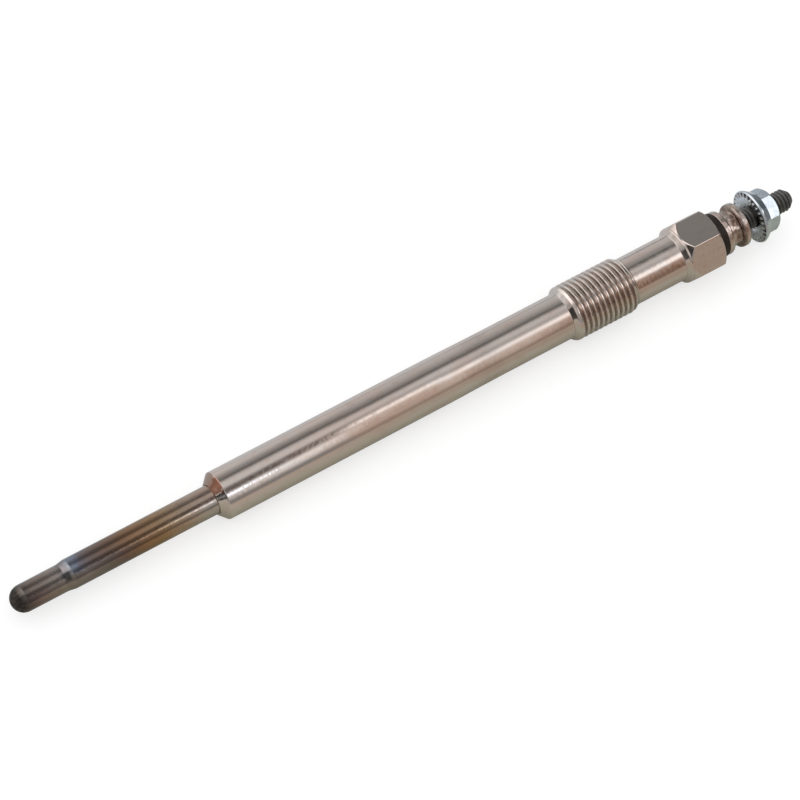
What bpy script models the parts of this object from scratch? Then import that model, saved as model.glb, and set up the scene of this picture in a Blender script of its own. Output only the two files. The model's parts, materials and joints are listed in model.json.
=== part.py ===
"""Sheathed diesel glow plug with an M10 x 1 body, modelled in metres.

The plug lies along +X: the glow tip is at -X, the threaded terminal at +X, and +Z is up.
Every piece is worked out on one axis, where z is the distance from the glow tip and
r is the distance from the axis. One empty turns that axis onto +X.
"""

import math

import bmesh
import bpy
from mathutils import Matrix

# Fits, and how far a cutter passes what it cuts
SEAT_GAP = 0.0001
RUN_GAP = 0.0003
CUT_MARGIN = 0.0003

# Glow tube
TIP_DIA = 0.00465
TIP_LENGTH = 0.0093
SWAGE_LENGTH = 0.0013
TUBE_DIA = 0.0051
TUBE_WALL = 0.0006
TIP_WALL = 0.0012
TUBE_OUT = 0.037
TUBE_IN_BODY = 0.0265
TUBE_LIP = 0.0014

# Body
SEAT_LIP = 0.0002
SEAT_LENGTH = 0.0013
LOWER_DIA = 0.0084
LOWER_LENGTH = 0.0463
STEP_LENGTH = 0.001
UPPER_DIA = 0.0082
UPPER_LENGTH = 0.01965
SHANK_DIA = 0.00844
SHANK_LENGTH = 0.01035
COLLAR_DIA = 0.00998
COLLAR_CONE = 0.00025
COLLAR_LENGTH = 0.0005
BORE_RELIEF = 0.00035

# Body thread
THREAD_DIA = 0.00986
THREAD_PITCH = 0.001
THREAD_DEPTH = 0.545
THREAD_LEAD = 0.00095
THREAD_LENGTH = 0.0111
THREAD_RUNOUT = 0.001
THREAD_ROOT_FLAT = 0.167
THREAD_FLANK_ANGLE = math.radians(30.0)

# Body hexagon
HEX_AF = 0.01
HEX_LENGTH = 0.0064
HEX_LEAD = 0.0011
HEX_CROWN = 0.0015
HEX_FACE_WALL = 0.0009
SEAL_BORE_DIA = 0.0068
SEAL_BORE_DEPTH = 0.00545

# Centre rod
ROD_DIA = 0.00394
ROD_PIN_LENGTH = 0.003
ROD_SHOULDER = 0.001
STUD_CHAMFER = 0.00105
STUD_FACE_DIA = 0.0022

# Heater inside the tube
HEATER_WIRE = 0.0004
HEATER_TURNS = 8
HEATER_PITCH = 0.0012
CONTROL_WIRE = 0.00045
CONTROL_TURNS = 12
CONTROL_PITCH = 0.0015
COIL_JOINT = 0.00012
FILLING_WEB = 0.0012
FILLING_WALL = 0.000325
TUBE_SEAL_LENGTH = 0.004

# Insulation and terminal
BUSH_FLANGE_DIA = 0.008
BUSH_FLANGE = 0.00135
CLAMP_DIA = 0.00792
CLAMP_RING = 0.0008
CLAMP_WAIST_DEPTH = 0.0007
CLAMP_WAIST = 0.0027
CLAMP_WAIST_FLAT = 0.0017
CLAMP_RIM = 0.0008
CLAMP_CHAMFER = 0.0004
CRIMP_FLATS = 8
CRIMP_DEPTH = 0.00015
TERMINAL_SPACE = 0.0022
NUT_FLANGE_DIA = 0.00966
NUT_RIM = 0.0004
NUT_CONE = 0.00135
NUT_CONE_DIA = 0.0079
NUT_AF = 0.0068
NUT_HEIGHT = 0.004
NUT_CROWN = 0.0011
NUT_FACE_INSET = 0.0007
SERRATIONS = 24
SERRATION_DEPTH = 0.0003
SERRATION_LENGTH = 0.0009
SERRATION_INSET = 0.00025
STUD_BEYOND_NUT = 0.00416

# Facets round each piece
BODY_STEPS = 40
THREAD_STEPS = 30
FINE_STEPS = 32
COIL_STEPS = 10
CROWN_STEPS = 3
DOME_STEPS = 6
RING_CORD_STEPS = 10
LEAD_HOLE_STEPS = 12

# Places along the axis, from the glow tip
SWAGE_Z = TIP_LENGTH + SWAGE_LENGTH
SEAT_Z = TUBE_OUT
LOWER_Z = SEAT_Z + SEAT_LENGTH
STEP_Z = LOWER_Z + LOWER_LENGTH
UPPER_Z = STEP_Z + STEP_LENGTH
LEAD_Z = UPPER_Z + UPPER_LENGTH
CREST_Z = LEAD_Z + THREAD_LEAD
RUNOUT_Z = CREST_Z + THREAD_LENGTH
SHANK_Z = RUNOUT_Z + THREAD_RUNOUT
CONE_Z = SHANK_Z + SHANK_LENGTH
COLLAR_Z = CONE_Z + COLLAR_CONE
HEX_Z = COLLAR_Z + COLLAR_LENGTH
FACE_Z = HEX_Z + HEX_LENGTH
SEAL_SHOULDER_Z = FACE_Z - SEAL_BORE_DEPTH
BUSH_Z = FACE_Z + SEAT_GAP
CLAMP_Z = BUSH_Z + BUSH_FLANGE + SEAT_GAP
CLAMP_LENGTH = CLAMP_RING + CLAMP_WAIST + CLAMP_RIM + CLAMP_CHAMFER
CLAMP_FACE_Z = CLAMP_Z + CLAMP_LENGTH
NUT_Z = CLAMP_FACE_Z + TERMINAL_SPACE
NUT_TOP_Z = NUT_Z + NUT_HEIGHT
STUD_Z = NUT_TOP_Z + STUD_BEYOND_NUT
TUBE_END_Z = SEAT_Z + TUBE_IN_BODY
TUBE_SEAL_Z = TUBE_END_Z - TUBE_LIP - TUBE_SEAL_LENGTH
FILLING_TOP_Z = TUBE_SEAL_Z - SEAT_GAP
WIRE_FOOT_Z = TIP_WALL + SEAT_GAP
HEATER_Z = WIRE_FOOT_Z + FILLING_WEB + HEATER_WIRE
CONTROL_Z = HEATER_Z + HEATER_TURNS * HEATER_PITCH
ROD_TUBE_Z = CONTROL_Z + CONTROL_TURNS * CONTROL_PITCH + CONTROL_WIRE / 2 + RUN_GAP
ROD_PIN_Z = ROD_TUBE_Z - ROD_PIN_LENGTH

# Radii that follow from the sizes above
HEX_BLANK_R = HEX_AF / 2 / math.cos(math.pi / 6) + SEAT_GAP
NUT_BLANK_R = NUT_AF / 2 / math.cos(math.pi / 6) + SEAT_GAP
TUBE_BORE_R = TUBE_DIA / 2 - TUBE_WALL
TIP_BORE_R = TIP_DIA / 2 - TUBE_WALL
TUBE_HOLE_R = TUBE_DIA / 2 + SEAT_GAP
SEAT_R = TUBE_HOLE_R + SEAT_LIP
BODY_BORE_R = TUBE_HOLE_R + BORE_RELIEF
CHANNEL_R = TIP_BORE_R - SEAT_GAP - FILLING_WALL
COIL_R = CHANNEL_R - SEAT_GAP
ROD_PIN_R = COIL_R - CONTROL_WIRE - SEAT_GAP
THREAD_ROOT_R = THREAD_DIA / 2 - THREAD_DEPTH * THREAD_PITCH
HEX_FACE_R = SEAL_BORE_DIA / 2 + HEX_FACE_WALL
NUT_FACE_R = NUT_AF / 2 - NUT_FACE_INSET / 2
CLAMP_WAIST_R = CLAMP_DIA / 2 - CLAMP_WAIST_DEPTH
STUD_BORE_R = ROD_DIA / 2 + SEAT_GAP
SPIGOT_R = SEAL_BORE_DIA / 2 - SEAT_GAP
RING_CORD_R = (SPIGOT_R - STUD_BORE_R) / 2
AXIS_HEIGHT = max(HEX_AF, COLLAR_DIA, THREAD_DIA, NUT_FLANGE_DIA, LOWER_DIA) / 2
MERGE = 1e-7


def clear_scene():
    for item in list(bpy.data.objects):
        bpy.data.objects.remove(item, do_unlink=True)


def new_collection(name):
    group = bpy.data.collections.new(name)
    bpy.context.scene.collection.children.link(group)
    return group


def new_material(name, colour, roughness, metallic):
    material = bpy.data.materials.new(name)
    material.use_nodes = True
    shader = material.node_tree.nodes["Principled BSDF"]
    shader.inputs["Base Color"].default_value = (*colour, 1.0)
    shader.inputs["Roughness"].default_value = roughness
    shader.inputs["Metallic"].default_value = metallic
    material.diffuse_color = (*colour, 1.0)
    return material


def keep(item, group, axis, material=None):
    """Put an object in its collection, on the plug's axis, with its own material."""
    group.objects.link(item)
    item.parent = axis
    if material:
        item.data.materials.append(material)
    return item


def keep_cutter(item, group, axis):
    item.hide_render = True
    item.display_type = "WIRE"
    return keep(item, group, axis)


def crown(r_start, z_start, r_end, z_end, steps=CROWN_STEPS):
    """Points of a quarter ellipse that leaves the first point along the axis, last point included."""
    angles = [math.pi / 2 * i / steps for i in range(1, steps + 1)]
    return [
        (r_end + (r_start - r_end) * math.cos(a), z_start + (z_end - z_start) * math.sin(a))
        for a in angles
    ]


def turned(name, profile, steps, closed=True, turn=None):
    """Turn a profile of (r, z) points about the axis.

    The profile runs down the outer side and up the inner side. A closed one goes all the way
    round a ring's section, and an open one starts and ends on the axis.
    The first facet is centred on the underside unless another turn is given.
    """
    mesh = bpy.data.meshes.new(name)
    count = len(profile)
    edges = [(i, i + 1) for i in range(count - 1)]
    if closed:
        edges.append((count - 1, 0))
    mesh.from_pydata([(r, 0.0, z) for r, z in profile], edges, [])
    item = bpy.data.objects.new(name, mesh)
    item.rotation_euler.z = math.pi / steps if turn is None else turn
    screw = item.modifiers.new("Turn", "SCREW")
    screw.axis = "Z"
    screw.angle = 2 * math.pi
    screw.steps = steps
    screw.render_steps = steps
    screw.use_merge_vertices = True
    screw.merge_threshold = MERGE
    screw.use_smooth_shade = True
    return item


def bored_bar(r_inner, r_outer, z_low, z_high):
    """Profile of a plain ring."""
    return [(r_outer, z_high), (r_outer, z_low), (r_inner, z_low), (r_inner, z_high)]


def boolean(item, cutter, operation):
    step = item.modifiers.new(cutter.name, "BOOLEAN")
    step.operation = operation
    step.solver = "EXACT"
    step.object = cutter
    return step


def flats_cutter(name, sides, across_flats, reach, z_low, z_high, turn):
    """A sleeve with a many-sided hole: what it removes leaves flats on a round blank."""
    corner = across_flats / 2 / math.cos(math.pi / sides)
    outside = reach / math.cos(math.pi / sides)
    return turned(name, bored_bar(corner, outside, z_low, z_high), sides, turn=turn)


def helical_cutter(name, pitch, turns, steps, root_r, root_flat, mouth_r, flank_angle, z_start):
    """A groove of trapezoid section wound as a right-hand helix, with closed ends."""
    root_half = root_flat / 2
    mouth_half = root_half + (mouth_r - root_r) * math.tan(flank_angle)
    corners = [(mouth_r, mouth_half), (mouth_r, -mouth_half), (root_r, -root_half), (root_r, root_half)]
    mesh = bpy.data.meshes.new(name)
    mesh.from_pydata([(r, 0.0, z_start + z) for r, z in corners], [(0, 1), (1, 2), (2, 3), (3, 0)], [])
    draft = bpy.data.objects.new(name + "_draft", mesh)
    bpy.context.scene.collection.objects.link(draft)
    screw = draft.modifiers.new("Wind", "SCREW")
    screw.axis = "Z"
    screw.angle = 2 * math.pi
    screw.screw_offset = pitch
    screw.iterations = turns
    screw.steps = steps
    screw.render_steps = steps
    screw.use_merge_vertices = False
    wound = bpy.data.meshes.new_from_object(draft.evaluated_get(bpy.context.evaluated_depsgraph_get()))
    bpy.data.objects.remove(draft, do_unlink=True)
    shape = bmesh.new()
    shape.from_mesh(wound)
    bmesh.ops.holes_fill(shape, edges=[edge for edge in shape.edges if edge.is_boundary])
    bmesh.ops.recalc_face_normals(shape, faces=shape.faces)
    shape.to_mesh(wound)
    shape.free()
    return bpy.data.objects.new(name, wound)


def serration_cutter(name):
    """Radial V grooves round the bearing face of the flange nut."""
    outer_r = NUT_FLANGE_DIA / 2 - SERRATION_INSET
    inner_r = outer_r - SERRATION_LENGTH
    side = SERRATION_DEPTH * math.sqrt(2)
    length = outer_r - inner_r
    shape = bmesh.new()
    for i in range(SERRATIONS):
        spin = Matrix.Rotation(2 * math.pi * (i + 0.5) / SERRATIONS, 4, "Z")
        place = Matrix.Translation(((outer_r + inner_r) / 2, 0.0, NUT_Z))
        tilt = Matrix.Rotation(math.pi / 4, 4, "X")
        scale = Matrix.Diagonal((length, side, side, 1.0))
        bmesh.ops.create_cube(shape, size=1.0, matrix=spin @ place @ tilt @ scale)
    mesh = bpy.data.meshes.new(name)
    shape.to_mesh(mesh)
    shape.free()
    return bpy.data.objects.new(name, mesh)


def wire(name, points, diameter):
    """A round wire along the points."""
    curve = bpy.data.curves.new(name, "CURVE")
    curve.dimensions = "3D"
    curve.resolution_u = 1
    curve.bevel_depth = diameter / 2
    curve.bevel_resolution = 2
    curve.use_fill_caps = True
    spline = curve.splines.new("POLY")
    spline.points.add(len(points) - 1)
    for place, point in zip(spline.points, points):
        place.co = (*point, 1.0)
    return bpy.data.objects.new(name, curve)


def helix(radius, z_start, pitch, first_turn, last_turn):
    """Points of a right-hand helix between two counts of turns."""
    count = max(2, round((last_turn - first_turn) * COIL_STEPS))
    points = []
    for i in range(count + 1):
        turns = first_turn + (last_turn - first_turn) * i / count
        angle = 2 * math.pi * turns
        rise = pitch * (turns - first_turn)
        points.append((radius * math.cos(angle), radius * math.sin(angle), z_start + rise))
    return points


def make_body(parts, cutters, axis):
    outer = [(HEX_BLANK_R, FACE_Z - HEX_CROWN)]
    outer += crown(HEX_BLANK_R, FACE_Z - HEX_CROWN, HEX_FACE_R, FACE_Z)
    outer.reverse()
    outer += [
        (HEX_BLANK_R, HEX_Z + HEX_LEAD),
        (COLLAR_DIA / 2, HEX_Z),
        (COLLAR_DIA / 2, COLLAR_Z),
        (SHANK_DIA / 2, CONE_Z),
        (SHANK_DIA / 2, SHANK_Z),
        (THREAD_DIA / 2, RUNOUT_Z),
        (THREAD_DIA / 2, CREST_Z),
        (UPPER_DIA / 2, LEAD_Z),
        (UPPER_DIA / 2, UPPER_Z),
        (LOWER_DIA / 2, STEP_Z),
        (LOWER_DIA / 2, LOWER_Z),
        (SEAT_R, SEAT_Z),
    ]
    bore_step_z = TUBE_END_Z + RUN_GAP
    inner = [
        (TUBE_HOLE_R, SEAT_Z),
        (TUBE_HOLE_R, bore_step_z),
        (BODY_BORE_R, bore_step_z + BORE_RELIEF),
        (BODY_BORE_R, SEAL_SHOULDER_Z),
        (SEAL_BORE_DIA / 2, SEAL_SHOULDER_Z),
        (SEAL_BORE_DIA / 2, FACE_Z),
    ]
    body = turned("plug_body", outer + inner, BODY_STEPS)
    keep(body, parts, axis, new_material("nickel_plated_steel", (0.62, 0.57, 0.54), 0.28, 1.0))
    flats = flats_cutter(
        "body_flats", 6, HEX_AF, HEX_BLANK_R + CUT_MARGIN, HEX_Z, FACE_Z + CUT_MARGIN, math.pi / 6
    )
    keep_cutter(flats, cutters, axis)
    boolean(body, flats, "DIFFERENCE")
    turns = math.ceil((SHANK_Z + THREAD_PITCH / 2 - CREST_Z) / THREAD_PITCH)
    groove = helical_cutter(
        "body_thread", THREAD_PITCH, turns, THREAD_STEPS, THREAD_ROOT_R, THREAD_ROOT_FLAT * THREAD_PITCH,
        THREAD_DIA / 2 + SEAT_GAP, THREAD_FLANK_ANGLE, CREST_Z
    )
    keep_cutter(groove, cutters, axis)
    boolean(body, groove, "DIFFERENCE")


def make_glow_tube(parts, axis):
    tip_r = TIP_DIA / 2
    profile = [
        (0.0, TIP_WALL),
        (TIP_BORE_R, TIP_WALL),
        (TIP_BORE_R, TIP_LENGTH),
        (TUBE_BORE_R, SWAGE_Z),
        (TUBE_BORE_R, TUBE_END_Z),
        (TUBE_DIA / 2, TUBE_END_Z),
        (TUBE_DIA / 2, SWAGE_Z),
        (tip_r, TIP_LENGTH),
        (tip_r, tip_r),
    ]
    profile += crown(tip_r, tip_r, 0.0, 0.0, DOME_STEPS)
    tube = turned("glow_tube", profile, FINE_STEPS, closed=False)
    keep(tube, parts, axis, new_material("heat_tinted_alloy", (0.36, 0.31, 0.27), 0.35, 1.0))


def make_coils(parts, axis):
    heater_r = COIL_R - HEATER_WIRE / 2
    control_r = COIL_R - CONTROL_WIRE / 2
    joint_turn = COIL_JOINT / (2 * math.pi * control_r)
    wound = helix(heater_r, HEATER_Z, HEATER_PITCH, 0.0, HEATER_TURNS - joint_turn)
    heater = wire("heating_coil", [(heater_r, 0.0, WIRE_FOOT_Z)] + wound, HEATER_WIRE)
    keep(heater, parts, axis, new_material("heater_wire", (0.45, 0.42, 0.40), 0.4, 1.0))
    joint_z = CONTROL_Z + CONTROL_PITCH * joint_turn
    wound = helix(control_r, joint_z, CONTROL_PITCH, HEATER_TURNS + joint_turn, HEATER_TURNS + CONTROL_TURNS)
    control = wire("control_coil", wound, CONTROL_WIRE)
    keep(control, parts, axis, new_material("control_wire", (0.55, 0.53, 0.50), 0.35, 1.0))


def make_filling(parts, cutters, axis):
    """Compacted powder: a sleeve outside the coils and a core inside them, joined by a web at the tip."""
    web_z = WIRE_FOOT_Z + FILLING_WEB
    core_z = ROD_PIN_Z - SEAT_GAP
    hole_r = HEATER_WIRE / 2 + SEAT_GAP
    profile = [
        (0.0, core_z),
        (ROD_PIN_R, core_z),
        (ROD_PIN_R, web_z),
        (CHANNEL_R, web_z),
        (CHANNEL_R, FILLING_TOP_Z),
        (TUBE_BORE_R - SEAT_GAP, FILLING_TOP_Z),
        (TUBE_BORE_R - SEAT_GAP, SWAGE_Z),
        (TIP_BORE_R - SEAT_GAP, TIP_LENGTH),
        (TIP_BORE_R - SEAT_GAP, WIRE_FOOT_Z),
        (0.0, WIRE_FOOT_Z),
    ]
    filling = turned("magnesia_filling", profile, FINE_STEPS, closed=False)
    keep(filling, parts, axis, new_material("magnesia_powder", (0.82, 0.81, 0.78), 0.9, 0.0))
    hole = bmesh.new()
    middle = Matrix.Translation((COIL_R - HEATER_WIRE / 2, 0.0, (WIRE_FOOT_Z + web_z) / 2))
    bmesh.ops.create_cone(
        hole, cap_ends=True, segments=LEAD_HOLE_STEPS, radius1=hole_r, radius2=hole_r,
        depth=FILLING_WEB + 2 * CUT_MARGIN, matrix=middle
    )
    mesh = bpy.data.meshes.new("lead_hole")
    hole.to_mesh(mesh)
    hole.free()
    cutter = keep_cutter(bpy.data.objects.new("lead_hole", mesh), cutters, axis)
    boolean(filling, cutter, "DIFFERENCE")


def make_rod(parts, axis):
    rod_r = ROD_DIA / 2
    neck_z = TUBE_END_Z + RUN_GAP
    profile = [
        (0.0, STUD_Z),
        (STUD_FACE_DIA / 2, STUD_Z),
        (rod_r, STUD_Z - STUD_CHAMFER),
        (rod_r, neck_z + ROD_SHOULDER),
        (COIL_R, neck_z),
        (COIL_R, ROD_TUBE_Z),
        (ROD_PIN_R, ROD_TUBE_Z),
        (ROD_PIN_R, ROD_PIN_Z),
        (0.0, ROD_PIN_Z),
    ]
    rod = turned("centre_rod", profile, FINE_STEPS, closed=False)
    keep(rod, parts, axis, new_material("blackened_steel", (0.12, 0.12, 0.13), 0.4, 1.0))


def make_seals(parts, axis):
    section = bored_bar(CHANNEL_R, TUBE_BORE_R - SEAT_GAP, TUBE_SEAL_Z, TUBE_SEAL_Z + TUBE_SEAL_LENGTH)
    seal = turned("tube_seal", section, FINE_STEPS)
    keep(seal, parts, axis, new_material("tube_seal_rubber", (0.35, 0.13, 0.09), 0.7, 0.0))
    middle_r = STUD_BORE_R + RING_CORD_R
    middle_z = SEAL_SHOULDER_Z + SEAT_GAP + RING_CORD_R
    angles = [2 * math.pi * i / RING_CORD_STEPS for i in range(RING_CORD_STEPS)]
    round_cord = [
        (middle_r + RING_CORD_R * math.cos(a), middle_z - RING_CORD_R * math.sin(a)) for a in angles
    ]
    ring = turned("body_seal", round_cord, FINE_STEPS)
    keep(ring, parts, axis, new_material("body_seal_rubber", (0.03, 0.03, 0.03), 0.6, 0.0))


def make_bush(parts, axis):
    spigot_z = SEAL_SHOULDER_Z + 2 * (RING_CORD_R + SEAT_GAP)
    profile = [
        (BUSH_FLANGE_DIA / 2, BUSH_Z + BUSH_FLANGE),
        (BUSH_FLANGE_DIA / 2, BUSH_Z),
        (SPIGOT_R, BUSH_Z),
        (SPIGOT_R, spigot_z),
        (STUD_BORE_R, spigot_z),
        (STUD_BORE_R, BUSH_Z + BUSH_FLANGE),
    ]
    bush = turned("insulating_bush", profile, FINE_STEPS)
    keep(bush, parts, axis, new_material("black_plastic", (0.03, 0.025, 0.02), 0.45, 0.0))


def make_round_nut(parts, cutters, axis):
    """Spool-shaped nut, screwed down on the bush and crimped to the stud at its waist."""
    rim_r = CLAMP_DIA / 2
    ring_z = CLAMP_Z + CLAMP_RING
    rim_low_z = ring_z + CLAMP_WAIST
    rim_high_z = rim_low_z + CLAMP_RIM
    waist_low_z = ring_z + (CLAMP_WAIST - CLAMP_WAIST_FLAT) / 2
    waist_high_z = waist_low_z + CLAMP_WAIST_FLAT
    lower_fillet = crown(rim_r, ring_z, CLAMP_WAIST_R, waist_low_z)
    upper_fillet = crown(rim_r, rim_low_z, CLAMP_WAIST_R, waist_high_z)
    profile = [(rim_r - CLAMP_CHAMFER, CLAMP_FACE_Z), (rim_r, rim_high_z), (rim_r, rim_low_z)]
    profile += upper_fillet
    profile += lower_fillet[::-1]
    profile += [(rim_r, ring_z), (rim_r, CLAMP_Z), (STUD_BORE_R, CLAMP_Z), (STUD_BORE_R, CLAMP_FACE_Z)]
    nut = turned("round_nut", profile, FINE_STEPS)
    keep(nut, parts, axis, new_material("round_nut_nickel", (0.58, 0.50, 0.46), 0.35, 1.0))
    crimp_af = 2 * (CLAMP_WAIST_R - CRIMP_DEPTH)
    crimp = flats_cutter(
        "crimp", CRIMP_FLATS, crimp_af, rim_r, waist_low_z, waist_high_z, math.pi / CRIMP_FLATS
    )
    keep_cutter(crimp, cutters, axis)
    boolean(nut, crimp, "DIFFERENCE")


def make_terminal_nut(parts, cutters, axis):
    """Hexagon flange nut with radial serrations on its bearing face."""
    rim_r = NUT_FLANGE_DIA / 2
    rim_z = NUT_Z + NUT_RIM
    cone_z = rim_z + NUT_CONE
    flange = [
        (NUT_CONE_DIA / 2, cone_z),
        (rim_r, rim_z),
        (rim_r, NUT_Z),
        (STUD_BORE_R, NUT_Z),
        (STUD_BORE_R, cone_z),
    ]
    nut = turned("terminal_nut", flange, BODY_STEPS)
    keep(nut, parts, axis, new_material("zinc_plated_steel", (0.72, 0.74, 0.76), 0.22, 1.0))
    blank = [(NUT_BLANK_R, NUT_TOP_Z - NUT_CROWN)]
    blank += crown(NUT_BLANK_R, NUT_TOP_Z - NUT_CROWN, NUT_FACE_R, NUT_TOP_Z)
    blank.reverse()
    blank += [(NUT_BLANK_R, rim_z), (STUD_BORE_R, rim_z), (STUD_BORE_R, NUT_TOP_Z)]
    head = turned("nut_head", blank, BODY_STEPS)
    keep_cutter(head, cutters, axis)
    flats = flats_cutter(
        "nut_flats", 6, NUT_AF, NUT_BLANK_R + CUT_MARGIN, rim_z - CUT_MARGIN, NUT_TOP_Z + CUT_MARGIN, 0.0
    )
    keep_cutter(flats, cutters, axis)
    boolean(head, flats, "DIFFERENCE")
    boolean(nut, head, "UNION")
    teeth = keep_cutter(serration_cutter("serrations"), cutters, axis)
    boolean(nut, teeth, "DIFFERENCE")


def main():
    clear_scene()
    parts = new_collection("diesel_glow_plug")
    cutters = new_collection("cutters")
    axis = bpy.data.objects.new("plug_axis", None)
    parts.objects.link(axis)
    axis.location = (-STUD_Z / 2, 0.0, AXIS_HEIGHT)
    axis.rotation_euler.y = math.pi / 2
    make_body(parts, cutters, axis)
    make_glow_tube(parts, axis)
    make_coils(parts, axis)
    make_filling(parts, cutters, axis)
    make_rod(parts, axis)
    make_seals(parts, axis)
    make_bush(parts, axis)
    make_round_nut(parts, cutters, axis)
    make_terminal_nut(parts, cutters, axis)
    bpy.context.view_layer.update()


main()
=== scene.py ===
# %% [markdown]
# A glow plug is a pencil-thin electric heater that is screwed into a diesel engine. This lesson
# dresses one: a heat-stained glow tube, a nickel-plated body with a fine thread and a hexagon,
# a black insulator, a crimped round nut, and a zinc-plated flange nut on a black threaded stud.
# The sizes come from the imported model, so it is loaded first and its box is kept. Every outer
# piece is then worked out again as a fine surface on the same axis.

import json

import bpy
import numpy as np
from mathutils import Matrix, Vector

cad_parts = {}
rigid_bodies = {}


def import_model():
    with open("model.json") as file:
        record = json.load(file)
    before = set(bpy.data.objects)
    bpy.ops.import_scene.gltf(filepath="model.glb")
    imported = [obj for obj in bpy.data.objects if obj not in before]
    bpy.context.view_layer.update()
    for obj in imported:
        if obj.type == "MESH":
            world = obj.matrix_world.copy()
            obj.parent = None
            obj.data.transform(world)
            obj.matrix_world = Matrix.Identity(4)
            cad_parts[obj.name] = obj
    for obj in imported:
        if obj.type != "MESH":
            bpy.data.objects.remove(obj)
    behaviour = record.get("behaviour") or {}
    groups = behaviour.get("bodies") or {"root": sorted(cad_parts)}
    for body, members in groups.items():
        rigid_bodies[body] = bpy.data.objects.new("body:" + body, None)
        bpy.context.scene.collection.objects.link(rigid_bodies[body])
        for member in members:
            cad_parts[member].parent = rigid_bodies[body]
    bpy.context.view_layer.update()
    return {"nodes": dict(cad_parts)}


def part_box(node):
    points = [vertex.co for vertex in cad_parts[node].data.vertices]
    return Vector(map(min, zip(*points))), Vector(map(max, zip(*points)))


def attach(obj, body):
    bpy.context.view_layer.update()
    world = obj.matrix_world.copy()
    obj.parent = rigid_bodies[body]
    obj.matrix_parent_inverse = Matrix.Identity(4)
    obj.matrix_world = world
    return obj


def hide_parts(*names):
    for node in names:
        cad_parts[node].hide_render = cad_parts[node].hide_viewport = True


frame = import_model()
MM = 0.001
tube_low, tube_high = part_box("glow_tube")
TIP_X = tube_low.x
AXIS_HEIGHT = (tube_low.z + tube_high.z) / 2
print("nodes:", sorted(frame["nodes"]))
print("glow tip at x", round(TIP_X, 5), "axis height", round(AXIS_HEIGHT, 5))

# %% [markdown]
# Nearly all of the plug was turned on a lathe. Blender's Screw modifier could spin a profile,
# but a hexagon, a thread and dents change the radius round the axis too. So each piece is a
# grid: rows run along the profile, columns run round the axis, and two arrays say where each
# row is and how far out it lies. All points are worked out at once and put in the mesh at once.

# %% Turn a grid of stations and radii into a mesh
def surface(name, rows, angles, closed):
    """Put rows (station z in mm from the tip, radius r in mm) round the axis into a mesh.

    rows has the shape (rows, columns, 2) and angles gives each column's angle a from +Y
    towards +Z. A point is x = tip + z, y = r cos a, height = axis + r sin a. A closed surface
    joins its last row to its first, and an open one ends in a pole at each end.
    """
    row_count, column_count = rows.shape[:2]
    station, radius = rows[..., 0], rows[..., 1]
    sideways, upwards = radius * MM * np.cos(angles), radius * MM * np.sin(angles)
    points = np.stack([TIP_X + station * MM, sideways, AXIS_HEIGHT + upwards], 2)
    index = np.arange(row_count * column_count).reshape(row_count, column_count)
    if closed:
        index = np.vstack([index, index[:1]])
    low, high = index[:-1], index[1:]
    quads = np.stack([low, np.roll(low, -1, 1), np.roll(high, -1, 1), high], 2).reshape(-1, 4)
    vertices = points.reshape(-1, 3)
    fans = np.zeros((0, 3), int)
    if not closed:
        poles = np.array([[points[0, 0, 0], 0.0, AXIS_HEIGHT], [points[-1, 0, 0], 0.0, AXIS_HEIGHT]])
        vertices = np.vstack([vertices, poles])
        first, last = len(vertices) - 2, len(vertices) - 1
        start = np.stack([np.full(column_count, first), np.roll(index[0], -1), index[0]], 1)
        end = np.stack([np.full(column_count, last), index[-1], np.roll(index[-1], -1)], 1)
        fans = np.vstack([start, end])
    mesh = bpy.data.meshes.new(name)
    mesh.vertices.add(len(vertices))
    mesh.vertices.foreach_set("co", vertices.astype(np.float32).ravel())
    loops = np.concatenate([quads.ravel(), fans.ravel()])
    sizes = np.concatenate([np.full(len(quads), 4), np.full(len(fans), 3)])
    mesh.loops.add(len(loops))
    mesh.loops.foreach_set("vertex_index", loops.astype(np.int32))
    mesh.polygons.add(len(sizes))
    mesh.polygons.foreach_set("loop_start", (np.cumsum(sizes) - sizes).astype(np.int32))
    mesh.polygons.foreach_set("use_smooth", np.ones(len(sizes), bool))
    mesh.update(calc_edges=True)
    mesh.validate()
    piece = bpy.data.objects.new(name, mesh)
    bpy.context.scene.collection.objects.link(piece)
    give_edges(mesh, points, closed)
    print(name, len(vertices), "points", 2 * len(quads) + len(fans), "triangles")
    return piece


# %% [markdown]
# Worn edges catch the light, and hollows are darkened: painted shade in the plated finishes, black
# oxide on the stud. A material can only know where those are if the mesh tells it, so each point
# gets two numbers: how far it stands out from the middle of its neighbours, and how far it lies
# in. Blender's Pointiness gives the same thing, but only in its own renderer and not in an
# exported model.

# %% Mark edges and hollows on the points
FULL_EDGE = 0.02 * MM


def give_edges(mesh, points, closed):
    """Store the attributes edge and hollow, each from 0 to 1.

    Along the outward normal, the point is compared with the middle of its two neighbours along
    the axis and with the middle of the two round it. The sum is divided by a full edge's rise.
    """
    before, after = np.roll(points, 1, 0), np.roll(points, -1, 0)
    if not closed:
        before[0], after[-1] = points[0], points[-1]
    left, right = np.roll(points, 1, 1), np.roll(points, -1, 1)
    normal = np.cross(right - left, after - before)
    normal /= np.maximum(np.linalg.norm(normal, axis=2, keepdims=True), 1e-12)
    along_rise = ((points - (before + after) / 2) * normal).sum(2)
    round_rise = ((points - (left + right) / 2) * normal).sum(2)
    rise = (along_rise + round_rise) / FULL_EDGE
    spare = len(mesh.vertices) - rise.size
    for label, value in (("edge", rise), ("hollow", -rise)):
        values = np.concatenate([np.clip(value, 0, 1).ravel(), np.zeros(spare)])
        layer = mesh.attributes.new(label, "FLOAT", "POINT")
        layer.data.foreach_set("value", values.astype(np.float32))


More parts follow.
